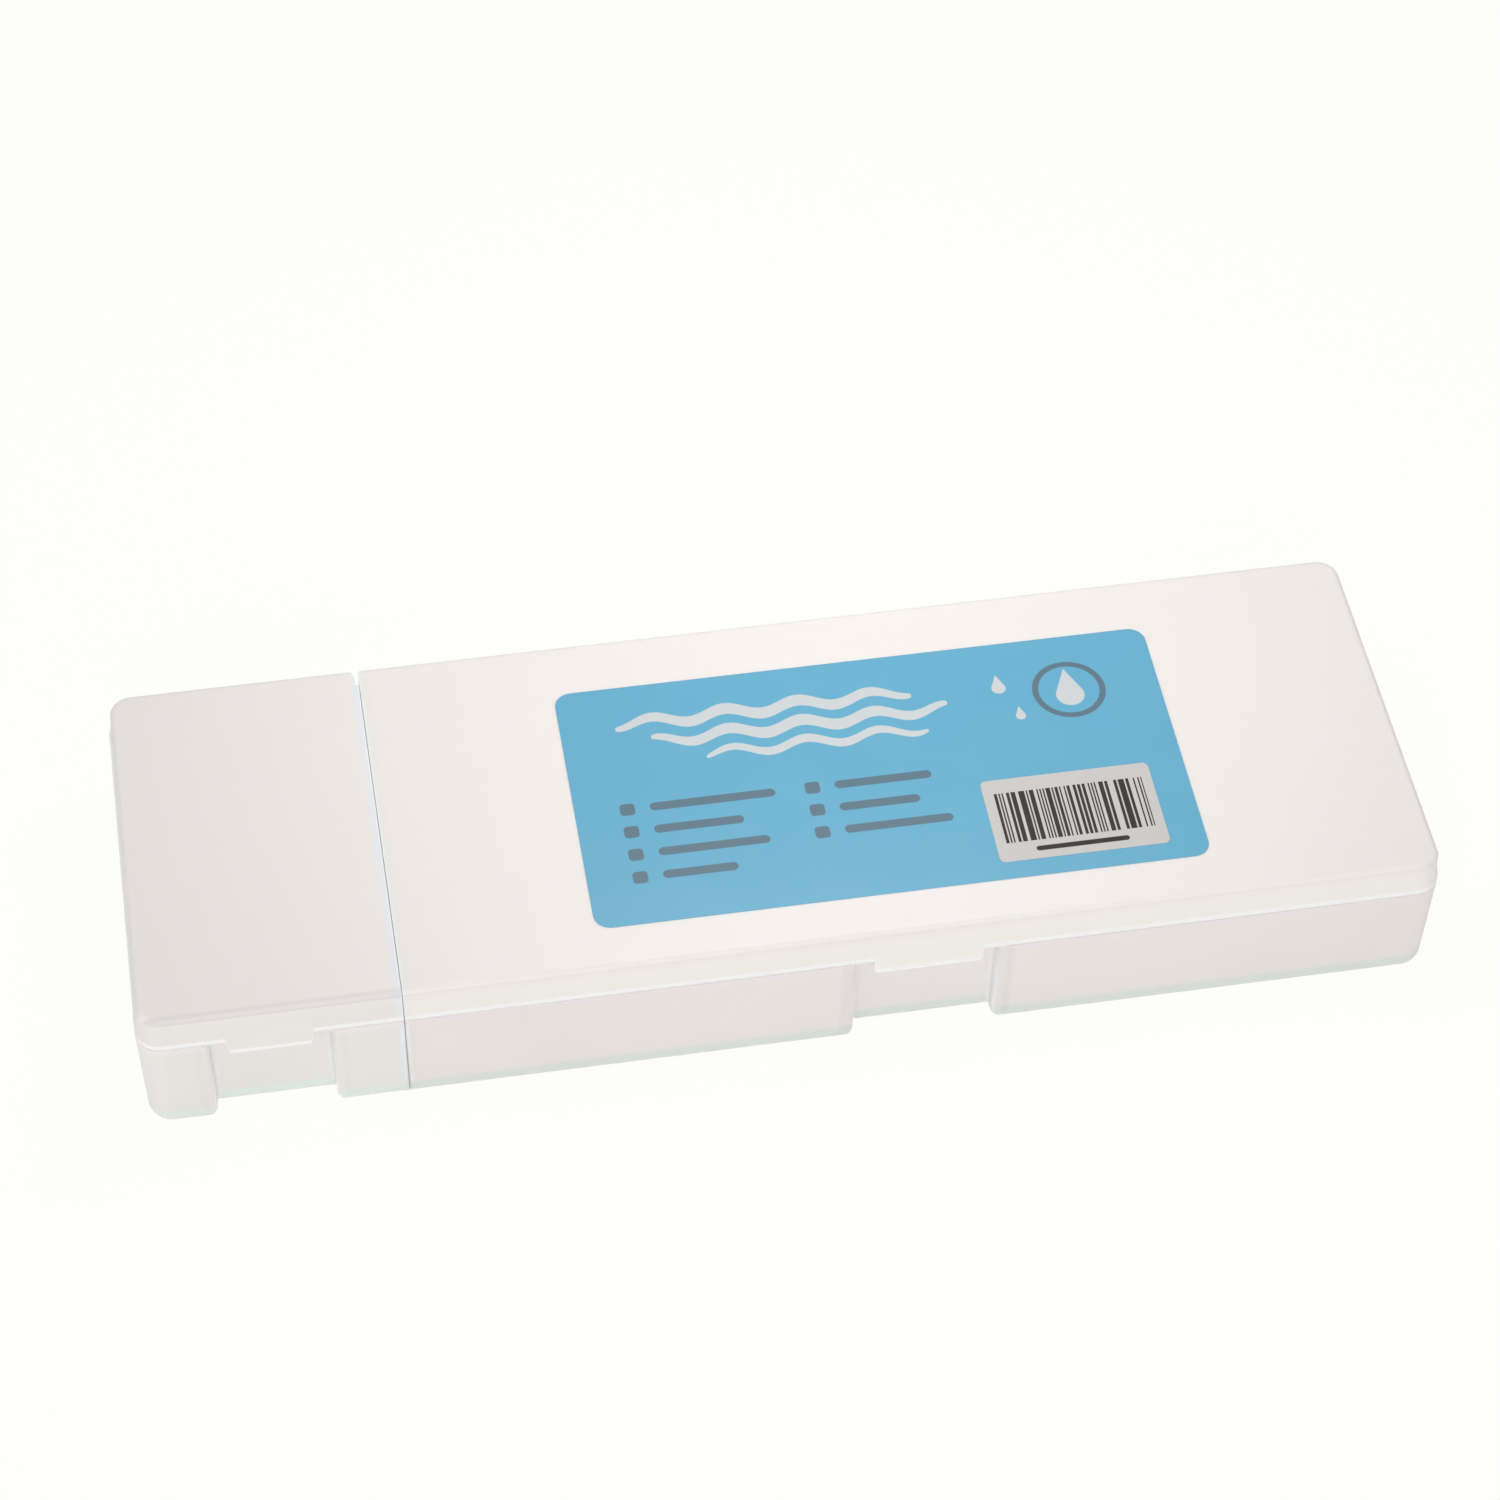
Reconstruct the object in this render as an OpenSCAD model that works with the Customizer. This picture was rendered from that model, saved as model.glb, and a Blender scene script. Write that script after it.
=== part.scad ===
// Wet palette kit: a long palette case and a small brush rinsing box that plug together side by
// side. Each box is a moulded base with a lid hinged at the back and a latch tab at the front.
// Millimetres, Z up. The pieces are drawn from the front left corner of the rinsing box, and
// place() moves the origin to the middle of the footprint, on the table.

/* [Kit] */
// Length of the two boxes side by side
kit_l = 301; // [260:1:360]
// Depth of the boxes from front to back, without the hinges
case_d = 100; // [85:1:130]
// Height of the boxes with the lids shut
case_h = 39; // [38:0.5:50]
// Height of the joint line between base and lid
base_h = 29.6; // [27:0.1:30.5]
// Length of the rinsing box
rinse_l = 59.8; // [54:0.2:80]
// Gap between the two boxes
seam_gap = 0.1; // [0.1:0.05:0.4]

/* [Moulded shells] */
// Thickness of the walls of a base
wall = 2.2; // [2.1:0.05:2.6]
// Thickness of the floor of a base
floor_t = 1.8; // [1.2:0.1:3]
// Radius of the outer corners, seen from above
corner_r = 6; // [5.6:0.1:10]
// Radius of the rear corner of the palette case beside the seam
palette_rear_r = 3; // [1:0.1:4]
// Radius of the rear corner of the rinsing box beside the seam
rinse_rear_r = 4; // [2:0.1:4.5]
// Radius of the front corners beside the seam
seam_front_r = 0.4; // [0.3:0.1:1.2]
// Radius of the upper and lower edges of the seam walls
seam_edge_r = 0.2; // [0.1:0.05:0.6]
// Radius of the edge between the walls and the floor, outside
foot_r = 4.7; // [4.3:0.1:5]
// Lean of the base walls, from the joint line to the floor
draft = 0.5; // [0:0.05:0.6]
// Radius of the small edges at the joint line
rim_r = 0.4; // [0.2:0.05:0.6]

/* [Lids] */
// Thickness of the top of a lid
lid_t = 1.5; // [1.2:0.1:2]
// Thickness of the skirt at its lower edge, and of the latch tab
skirt_t = 1.15; // [1:0.05:1.25]
// Gap between a lid and the lip inside it
lid_gap = 0.3; // [0.25:0.05:0.4]
// Height of the gap at the joint line
joint_gap = 0.12; // [0.1:0.02:0.3]
// Height of the lip of the base inside the skirt
lip_h = 3.4; // [2.5:0.1:4]
// Radius of the edge around the top of a lid
lid_edge_r = 1.5; // [1:0.1:2]
// How far the skirt flares out towards the joint line
lid_flare = 0.85; // [0.5:0.05:1]
// Height of the upright band at the lower edge of the skirt
rim_band = 1.1; // [0.8:0.1:1.6]
// Depth of the clearance at the back of the seam wall of the rinsing box lid
relief_d = 0.9; // [0.4:0.05:1]
// Length of that clearance
relief_l = 6; // [4:0.5:10]

/* [Finger recesses and latch tabs] */
// Depth of the finger recesses
recess_d = 4.2; // [3.6:0.1:6]
// Width of the finger recess of the palette case
palette_recess_w = 33; // [30:0.5:40]
// Width of the finger recess of the rinsing box
rinse_recess_w = 27.3; // [24:0.1:30]
// Distance from the seam to the middle of the palette latch
palette_latch_x = 119.9; // [60:0.1:170]
// Distance from the seam to the middle of the rinsing box latch
rinse_latch_x = 30.1; // [24:0.1:34]
// Radius of the round edges at the mouth of a recess
mouth_r = 2; // [1.2:0.1:2.1]
// Thickness of the ledge above a recess, which the tab hooks under
ledge_t = 1.7; // [1.4:0.1:2]
// Width of the palette latch tab
palette_tab_w = 25.3; // [22:0.1:27]
// Width of the rinsing box latch tab
rinse_tab_w = 19.1; // [17:0.1:21]
// How far a tab reaches below the joint line
tab_drop = 4.1; // [3.6:0.1:5]
// Radius of the lower corners of a tab
tab_corner_r = 1.6; // [1:0.1:1.8]
// How much wider a tab is at its top, on each side
tab_spread = 1.2; // [0.6:0.1:2]
// Height of the bead inside a tab
bead_h = 0.22; // [0.15:0.01:0.25]

/* [Hinges] */
// Radius of the hinge knuckles
knuckle_r = 2.3; // [2.1:0.05:2.5]
// Radius of the hinge pins
pin_r = 1.1; // [0.9:0.05:1.2]
// Radial play of a pin in its bore
pin_play = 0.05; // [0.02:0.01:0.08]
// Distance from the back wall to the hinge axis
hinge_out = 2.6; // [2.55:0.05:3]
// Width of one ear of a hinge
ear_w = 4.5; // [4:0.1:6]
// Width of the lid knuckle between two ears
lug_w = 12; // [8:0.5:16]
// Side play of the lid knuckle between the ears
hinge_gap = 0.3; // [0.25:0.05:0.5]
// Distance from the ends of the palette case to its hinges
hinge_inset = 42; // [30:1:60]

/* [Rails between the boxes] */
// How far the dovetail rails stand out of the palette case
rail_out = 1.8; // [1.5:0.1:2.2]
// Half width of a rail at the wall
rail_neck = 2.2; // [2:0.1:3]
// Half width of a rail at its outer face
rail_head = 3.4; // [3.2:0.1:4.2]
// Height of the lower end of the rails
rail_low = 3; // [2:0.5:6]
// Height of the upper end of the rails
rail_high = 24; // [16:0.5:24.5]
// Distance from the front and back walls to the rails
rail_inset = 28; // [20:1:36]
// Play between a rail and its groove
rail_gap = 0.3; // [0.25:0.05:0.4]
// Thickness of the tank wall behind a groove
groove_wall = 1.2; // [1:0.1:1.8]

/* [Contents] */
// Thickness of the sponge
sponge_t = 15; // [8:0.5:18]
// Play around the sponge on the floor of the case
sponge_play = 0.6; // [0.4:0.1:3]
// Radius of the corners of the sponge
sponge_corner_r = 3; // [1:0.5:8]
// How much smaller the sheets are than the sponge, on each side
sheet_margin = 1.5; // [0.5:0.5:6]
// Thickness of a water guide paper
guide_t = 0.4; // [0.2:0.05:0.8]
// Thickness of a palette paper
paper_t = 0.12; // [0.08:0.01:0.2]
// Thickness of the washing plate
plate_t = 1.6; // [1.2:0.1:2.5]
// Play around the washing plate
plate_play = 0.5; // [0.4:0.1:2]
// Height of the scrubbing ribs and pegs
rib_h = 4; // [2:0.5:7]
// Width of a scrubbing rib
rib_w = 1.4; // [1:0.1:2]
// Distance between scrubbing ribs
rib_pitch = 5; // [4:0.1:8]
// Radius of a scrubbing peg
peg_r = 1.2; // [0.8:0.1:1.8]
// Distance between scrubbing pegs
peg_pitch = 7; // [5:0.1:10]
// Plain border of the washing plate
plate_border = 4; // [3:0.5:8]

/* [Label] */
// Length of the label
label_l = 143.2; // [100:0.1:170]
// Width of the label
label_w = 71.5; // [50:0.1:78]
// Distance from the seam to the label
label_x = 45; // [20:0.1:60]
// Distance from the front to the label
label_y = 12; // [6:0.1:14]
// Radius of the corners of the label
label_corner_r = 4; // [2:0.1:8]
// Thickness of the label and of the sticker
film_t = 0.1; // [0.06:0.01:0.2]
// Length of the sticker
sticker_l = 40.1; // [30:0.1:44]
// Width of the sticker
sticker_w = 24.6; // [18:0.1:30]
// Distance from the right end of the label to the sticker
sticker_x = 8.6; // [4:0.1:14]
// Distance from the front edge of the label to the sticker
sticker_y = 4.8; // [3:0.1:14]
// Radius of the corners of the sticker
sticker_corner_r = 1.5; // [1:0.1:3]

/* [Hidden] */
$fn = 96;
past = 1;                                   // how far a cut runs past a face
grip = 0.02;                                // how far a round edge crosses the faces it joins
guide_count = 2;
paper_count = 10;

palette_l = kit_l - rinse_l - seam_gap;     // length of the palette case
lip_in = skirt_t + lid_gap;                 // outer face of the lip, in from the wall
skirt_low = base_h + joint_gap;             // lower edge of the skirt
skirt_room = base_h + lip_h + lid_gap;      // top of the room for the lip in the lid
ledge_z = base_h - ledge_t;                 // ceiling of a finger recess
cove_h = case_h - lid_edge_r - skirt_low - rim_band;
cove_r = (cove_h * cove_h + lid_flare * lid_flare) / (2 * lid_flare);
tab_low = base_h - tab_drop;                // lower edge of a tab
hinge_y = case_d + hinge_out;               // hinge axis
hinge_z = base_h;
hinge_w = 2 * ear_w + 2 * hinge_gap + lug_w;
knuckle_back = hinge_y + knuckle_r;         // rearmost face of the kit
inner_foot = foot_r - wall;                 // radius between walls and floor, inside
floor_in = wall + draft + inner_foot;       // edge of the flat of the floor, in from the outside
groove_d = rail_out - seam_gap + rail_gap;  // depth of a groove from the face of the seam wall
boss_in = groove_d + groove_wall;           // inner face of the boss behind a groove
rail_ys = [rail_inset, case_d - rail_inset];
sheets_z = floor_t + sponge_t;              // underside of the first water guide paper
papers_z = sheets_z + guide_count * guide_t;

shell_colour = [0.93, 0.92, 0.91];
plate_colour = [0.90, 0.93, 0.95];
sponge_colour = [0.96, 0.80, 0.36];
guide_colour = [0.96, 0.96, 0.94];
paper_colour = [0.95, 0.94, 0.89];
label_colour = [0.43, 0.71, 0.83];
sticker_colour = [0.86, 0.85, 0.83];

// ---------------------------------------------------------------- sections and outlines

// Half of an upright section, from its middle at x = 0 to the wall at x = reach. The wall leans
// in towards the floor, and its lower and upper edges are round.
module wall_section(reach, low, high, foot, head, lean) {
    intersection() {
        union() {
            polygon([
                [0, low], [reach - lean - foot, low], [reach - lean, low + foot],
                [reach, high - head], [reach - head, high], [0, high]
            ]);
            if (foot > 0)
                translate([reach - lean - foot, low + foot]) circle(r = foot);
            if (head > 0)
                translate([reach - head, high - head]) circle(r = head);
        }
        translate([0, low]) square([reach, high - low]);
    }
}

// The same for the outside of a lid: upright at the top, then a hollow curve that flares out to
// the band at the lower edge.
module lid_section(reach) {
    wall_section(reach - lid_flare, skirt_low, case_h, 0, lid_edge_r, 0);
    difference() {
        wall_section(reach, skirt_low, case_h - lid_edge_r, rim_r, 0, 0);
        translate([reach - lid_flare + cove_r, case_h - lid_edge_r]) circle(r = cove_r);
    }
}

// Rectangle with a front corner of radius front_r and a rear corner of radius seam_r at x = 0,
// and with corners of radius out_r at the other end.
module plan_shape(len, depth, front_r, seam_r, out_r) {
    mid = len / 2;
    half = depth / 2;
    translate([0, front_r]) square([mid, depth - front_r - seam_r]);
    translate([mid, out_r]) square([len - mid, depth - 2 * out_r]);
    translate([front_r, 0]) square([len - front_r - out_r, half]);
    translate([seam_r, half]) square([len - seam_r - out_r, half]);
    translate([front_r, front_r]) circle(r = front_r);
    translate([seam_r, depth - seam_r]) circle(r = seam_r);
    for (y = [out_r, depth - out_r]) translate([len - out_r, y]) circle(r = out_r);
}

// Outline of a box seen from above, moved in from its walls.
module box_plan(len, inset) {
    translate([inset, inset])
        plan_shape(len - 2 * inset, case_d - 2 * inset, max(seam_front_r - inset, rim_r),
                   max($rear_r - inset, rim_r), corner_r - inset);
}

// Turn a drawing so that it runs along X, with its x as Y and its y as Z.
module along_x(from, to) {
    translate([from, 0, 0]) rotate([90, 0, 90]) linear_extrude(to - from) children();
}

// Turn a drawing so that it runs along Y, with its x as X and its y as Z.
module along_y(from, to) {
    translate([0, to, 0]) rotate([90, 0, 0]) linear_extrude(to - from) children();
}

// ---------------------------------------------------------------- box forms
// A box lies with its seam wall at x = 0 and its front at y = 0. $rear_r is the radius of its rear
// corner beside the seam.

// Solid with the section of its child at the front, at the back and at the far end, and round
// the two far corners. $reach tells the child how far its wall is from the middle.
module swept_form(len, depth, corner) {
    for (y = [corner, depth - corner])
        translate([len - corner, y, 0])
            rotate_extrude() let ($reach = corner) children();
    along_x(0, len - corner)
        translate([depth / 2, 0])
            for (side = [0, 1]) mirror([side, 0]) let ($reach = depth / 2) children();
    along_y(corner, depth - corner)
        let ($reach = len) children();
}

// Trim for the seam wall: small corners seen from above.
module seam_trim(len, low, high) {
    translate([0, 0, low - past])
        linear_extrude(high - low + 2 * past)
            plan_shape(len + corner_r, case_d, seam_front_r, $rear_r, rim_r);
}

// The small edges of that trim.
module seam_edges(len, low, high) {
    along_y(-past, case_d + past)
        translate([len + past, 0]) mirror([1, 0])
            wall_section(len + past, low, high, seam_edge_r, seam_edge_r, 0);
}

// Outside of a base, without its recess.
module base_form(len) {
    intersection() {
        swept_form(len, case_d, corner_r)
            wall_section($reach, 0, base_h, foot_r, rim_r, draft);
        seam_trim(len, 0, base_h);
        seam_edges(len, 0, base_h);
    }
}

// Room inside a base, up through its lip.
module base_room(len) {
    high = base_h + lip_h + past;
    translate([wall, wall, 0])
        swept_form(len - 2 * wall, case_d - 2 * wall, corner_r - wall)
            wall_section($reach, floor_t, high, inner_foot, 0, draft);
}

// Outside of a lid, without its tab.
module lid_form(len) {
    intersection() {
        swept_form(len, case_d, corner_r) lid_section($reach);
        seam_trim(len, skirt_low, case_h);
        seam_edges(len, skirt_low, case_h);
    }
}

// Room inside a lid: a wide step for the lip, then the hollow under the top.
module lid_room(len) {
    translate([0, 0, skirt_low - past])
        linear_extrude(skirt_room - skirt_low + past) box_plan(len, skirt_t);
    translate([wall, wall, 0])
        swept_form(len - 2 * wall, case_d - 2 * wall, corner_r - wall)
            wall_section($reach, skirt_low, case_h - lid_t, 0, lid_edge_r, 0);
}

// Clearance at the back of the seam wall of a lid, above the room for the lip.
module relief_cut(len) {
    low = skirt_room + lid_gap;
    wide = relief_d + $rear_r;
    translate([0, 0, low])
        linear_extrude(case_h - low + past)
            difference() {
                translate([-past, case_d - relief_l]) square([wide + past, relief_l + past]);
                translate([relief_d, grip])
                    plan_shape(len, case_d, seam_front_r, $rear_r, rim_r);
            }
}

// ---------------------------------------------------------------- recesses, latches and hinges

// Everything in front of the wall of a recess that stands inset behind its face. The foot of
// that wall is round like the rest of the base.
module recess_front(x, w, inset, low, high) {
    foot = foot_r - inset;
    deep = recess_d + inset;
    along_x(x - w, x + w)
        difference() {
            translate([-past, -past]) square([deep + draft + foot + past, high + past]);
            translate([deep + case_d, 0]) mirror([1, 0])
                wall_section(case_d, low, base_h, foot, 0, draft);
        }
}

// What stays of the strip beside a recess, from x = 0 to mouth_r with the recess at x < 0: its
// round edge runs down the front face, around the foot and back along the underside.
module mouth_edge() {
    lean = atan(draft / (base_h - rim_r - foot_r));
    foot_y = draft + foot_r;
    ring = foot_r - mouth_r + grip;         // from the middle of the foot to that of the edge
    back = foot_y + recess_d + foot_r;
    start = [foot_y - ring * cos(lean), foot_r - ring * sin(lean)];
    end = start + base_h * [-sin(lean), cos(lean)];
    along_x(0, mouth_r + past) {
        translate([foot_y, foot_r]) circle(r = ring);
        polygon([
            [foot_y, foot_r], start, end, [back, end[1]], [back, foot_r - ring],
            [foot_y, foot_r - ring]
        ]);
    }
    translate([mouth_r - grip, foot_y, foot_r]) {
        rotate([lean, 0, 0]) translate([0, -ring, 0]) cylinder(r = mouth_r, h = base_h);
        rotate([0, 90, 0]) rotate([0, 0, lean - 90])
            rotate_extrude(angle = 90 - lean) translate([ring, 0]) circle(r = mouth_r);
        translate([0, 0, -ring]) rotate([-90, 0, 0])
            cylinder(r = mouth_r, h = recess_d + foot_r);
    }
}

// Mouth of a recess, wider at the face by the round edge on each side.
module mouth(x, w) {
    deep = recess_d + draft + foot_r + past;
    translate([x - w / 2, -past, -past]) cube([w, deep, base_h + 2 * past]);
    for (side = [0, 1])
        translate([x, 0, 0]) mirror([side, 0, 0]) translate([w / 2, 0, 0])
            difference() {
                translate([0, -past, -past]) cube([mouth_r, deep, base_h + 2 * past]);
                mouth_edge();
            }
}

// Finger recess: full depth up to the ledge, then only as deep as the tab needs.
module recess_cut(x, w) {
    intersection() {
        mouth(x, w);
        union() {
            recess_front(x, w, 0, 0, ledge_z);
            translate([x - w, -past, ledge_z - past])
                cube([2 * w, lip_in + past, ledge_t + 2 * past]);
        }
    }
}

// The bulge that backs a recess inside the box.
module recess_back(x, w) {
    intersection() {
        translate([x - w / 2 - wall, 0, 0]) cube([w + 2 * wall, case_d / 2, base_h]);
        recess_front(x, w, wall, floor_t, base_h);
    }
}

// Base with its lip and recess.
module base_shell(len, recess_x, recess_w) {
    difference() {
        union() {
            difference() {
                base_form(len);
                recess_cut(recess_x, recess_w);
            }
            translate([0, 0, base_h - past])
                linear_extrude(lip_h + past)
                    box_plan(len, lip_in);
        }
        difference() {
            base_room(len);
            recess_back(recess_x, recess_w);
        }
    }
}

// Section of a latch tab, from its face at x = 0: upright below, then flat up to the round edge
// of the lid.
module tab_section() {
    bend_z = skirt_low + rim_band + 5 * grip;
    edge_z = case_h - lid_edge_r;
    back = skirt_t + past;
    polygon([
        [0, tab_low + rim_r], [0, bend_z], [lid_flare, edge_z],
        [back, edge_z], [back, tab_low], [rim_r, tab_low]
    ]);
    translate([rim_r, tab_low + rim_r]) circle(r = rim_r);
}

// Latch tab: a flat panel on the front of the skirt that hangs over the recess, with a bead
// inside that meets the ledge of the base.
module latch_tab(x, w) {
    edge_z = case_h - lid_edge_r;
    half = w / 2;
    wide = half + tab_spread;
    intersection() {
        along_y(0, skirt_t)
            translate([x, 0]) {
                polygon([
                    [-half, tab_low + tab_corner_r], [-half + tab_corner_r, tab_low],
                    [half - tab_corner_r, tab_low], [half, tab_low + tab_corner_r],
                    [half, skirt_low], [wide, edge_z], [-wide, edge_z], [-half, skirt_low]
                ]);
                for (side = [-1, 1])
                    translate([side * (half - tab_corner_r), tab_low + tab_corner_r])
                        circle(r = tab_corner_r);
            }
        along_x(x - wide - past, x + wide + past) tab_section();
    }
    bead_r = 3 * bead_h;
    translate([x - half + 2 * tab_corner_r, skirt_t + bead_h - bead_r, ledge_z - 2 * bead_r])
        rotate([0, 90, 0]) cylinder(r = bead_r, h = w - 4 * tab_corner_r);
}

// Middles of the hinges along a box.
function hinge_xs(len) = len > 3 * hinge_inset ? [hinge_inset, len - hinge_inset] : [len / 2];

// Ears of a base hinge: two bored knuckles on webs that run down into the back wall.
module hinge_ears(x) {
    tangent = knuckle_r * sqrt(0.5);
    root = case_d - wall / 2;
    drop = hinge_y + tangent - root;
    for (side = [0, 1])
        translate([x, 0, 0]) mirror([side, 0, 0])
            difference() {
                along_x(lug_w / 2 + hinge_gap, hinge_w / 2)
                    union() {
                        translate([hinge_y, hinge_z]) circle(r = knuckle_r);
                        polygon([
                            [root, hinge_z], [hinge_y, hinge_z],
                            [hinge_y + tangent, hinge_z - tangent],
                            [root, hinge_z - tangent - drop]
                        ]);
                    }
                translate([0, hinge_y, hinge_z])
                    rotate([0, 90, 0]) cylinder(r = pin_r + pin_play, h = hinge_w);
            }
}

// Knuckle of a lid hinge with a pin at each end, on a web from the skirt.
module hinge_lug(x) {
    translate([x, 0, 0]) {
        along_x(-lug_w / 2, lug_w / 2)
            union() {
                translate([hinge_y, hinge_z]) circle(r = knuckle_r);
                translate([case_d - skirt_t, skirt_low])
                    square([hinge_out + skirt_t, hinge_z + knuckle_r - skirt_low]);
            }
        translate([-hinge_w / 2 + hinge_gap, hinge_y, hinge_z])
            rotate([0, 90, 0]) cylinder(r = pin_r, h = hinge_w - 2 * hinge_gap);
    }
}

// Lid with its tab and hinge knuckles.
module lid_shell(len, tab_x, tab_w) {
    difference() {
        lid_form(len);
        lid_room(len);
    }
    latch_tab(tab_x, tab_w);
    for (x = hinge_xs(len)) hinge_lug(x);
}

// ---------------------------------------------------------------- rails and grooves

// Plan of a dovetail rail. It stands out towards -X.
module rail_plan() {
    polygon([
        [wall / 2, -rail_neck], [0, -rail_neck], [-rail_out, -rail_head],
        [-rail_out, rail_head], [0, rail_neck], [wall / 2, rail_neck]
    ]);
}

// Plan of a groove, seen from the wall that the rail enters.
module groove_plan() {
    slope = (rail_head - rail_neck) / rail_out;
    mouth = rail_neck + rail_gap + slope * (seam_gap - past);
    bottom = rail_neck + rail_gap + slope * (seam_gap + groove_d);
    polygon([[-past, -mouth], [groove_d, -bottom], [groove_d, bottom], [-past, mouth]]);
}

module rails() {
    for (y = rail_ys)
        translate([0, y, rail_low]) linear_extrude(rail_high - rail_low) rail_plan();
}

module grooves() {
    for (y = rail_ys)
        translate([0, y, -past]) linear_extrude(rail_high + rail_gap + past) groove_plan();
}

// Thicker wall inside the tank behind the grooves.
module groove_bosses() {
    half = rail_head + rail_gap + groove_wall + rail_gap;
    for (y = rail_ys)
        translate([wall / 2, y - half, floor_t / 2])
            cube([boss_in - wall / 2, 2 * half, rail_high + rail_gap + groove_wall - floor_t / 2]);
}

// ---------------------------------------------------------------- contents

// Plan of what lies on the flat floor of the palette case.
module well_plan(margin, corner) {
    seam_in = wall + sponge_play + margin;
    far_in = floor_in + sponge_play + margin;
    front_in = recess_d + floor_in + sponge_play + margin;
    translate([seam_in, front_in])
        plan_shape(palette_l - seam_in - far_in, case_d - front_in - far_in,
                   corner, corner, corner);
}

// Ribs along the front half of the washing plate.
module plate_ribs(l, w) {
    count = floor((l - 2 * plate_border - rib_w) / rib_pitch);
    start = (l - count * rib_pitch) / 2;
    for (i = [0 : count])
        translate([start + i * rib_pitch - rib_w / 2, plate_border, plate_t / 2])
            cube([rib_w, w / 2 - 1.5 * plate_border, plate_t / 2 + rib_h]);
}

// Staggered pegs over the back half of the washing plate.
module plate_pegs(l, w) {
    room_w = w / 2 - 1.5 * plate_border - 2 * peg_r;
    rows = floor(room_w / peg_pitch);
    columns = floor((l - 2 * plate_border - 2 * peg_r) / peg_pitch);
    y0 = w - plate_border - peg_r - rows * peg_pitch;
    for (row = [0 : rows])
        for (column = [0 : columns - row % 2])
            translate([
                (l - (columns - row % 2) * peg_pitch) / 2 + column * peg_pitch,
                y0 + row * peg_pitch,
                plate_t / 2
            ])
                cylinder(r = peg_r, h = plate_t / 2 + rib_h);
}

// ---------------------------------------------------------------- places

module place() {
    translate([-kit_l / 2, -knuckle_back / 2, 0]) children();
}

module at_palette() {
    place() translate([rinse_l + seam_gap, 0, 0]) let ($rear_r = palette_rear_r) children();
}

// The rinsing box is the mirror image, with its seam wall at the right.
module at_rinse() {
    place() translate([rinse_l, 0, 0]) mirror([1, 0, 0]) let ($rear_r = rinse_rear_r) children();
}

// ---------------------------------------------------------------- pieces

module palette_base() {
    color(shell_colour) at_palette() {
        base_shell(palette_l, palette_latch_x, palette_recess_w);
        rails();
        for (x = hinge_xs(palette_l)) hinge_ears(x);
    }
}

module palette_lid() {
    color(shell_colour) at_palette() lid_shell(palette_l, palette_latch_x, palette_tab_w);
}

module rinse_base() {
    color(shell_colour) at_rinse() {
        difference() {
            union() {
                base_shell(rinse_l, rinse_latch_x, rinse_recess_w);
                groove_bosses();
            }
            grooves();
        }
        for (x = hinge_xs(rinse_l)) hinge_ears(x);
    }
}

module rinse_lid() {
    color(shell_colour) at_rinse()
        difference() {
            lid_shell(rinse_l, rinse_latch_x, rinse_tab_w);
            relief_cut(rinse_l);
        }
}

module washing_plate() {
    seam_in = boss_in + plate_play;
    far_in = floor_in + plate_play;
    front_in = recess_d + far_in;
    l = rinse_l - seam_in - far_in;
    w = case_d - front_in - far_in;
    color(plate_colour) at_rinse()
        translate([seam_in, front_in, floor_t]) {
            linear_extrude(plate_t)
                plan_shape(l, w, sponge_corner_r, sponge_corner_r, sponge_corner_r);
            plate_ribs(l, w);
            plate_pegs(l, w);
        }
}

module sponge() {
    color(sponge_colour) at_palette()
        translate([0, 0, floor_t]) linear_extrude(sponge_t) well_plan(0, sponge_corner_r);
}

module guide_paper(number) {
    color(guide_colour) at_palette()
        translate([0, 0, sheets_z + (number - 1) * guide_t])
            linear_extrude(guide_t) well_plan(sheet_margin, sponge_corner_r);
}

module palette_paper(number) {
    color(paper_colour) at_palette()
        translate([0, 0, papers_z + (number - 1) * paper_t])
            linear_extrude(paper_t) well_plan(sheet_margin, sponge_corner_r);
}

module label() {
    color(label_colour) at_palette()
        translate([label_x, label_y, case_h])
            linear_extrude(film_t)
                plan_shape(label_l, label_w, label_corner_r, label_corner_r, label_corner_r);
}

module sticker() {
    color(sticker_colour) at_palette()
        translate([
            label_x + label_l - sticker_x - sticker_l,
            label_y + sticker_y,
            case_h + film_t
        ])
            linear_extrude(film_t)
                plan_shape(sticker_l, sticker_w,
                           sticker_corner_r, sticker_corner_r, sticker_corner_r);
}

palette_base();
palette_lid();
rinse_base();
rinse_lid();
washing_plate();
sponge();
for (i = [1 : guide_count])
    guide_paper(i);
for (i = [1 : paper_count])
    palette_paper(i);
label();
sticker();
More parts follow.
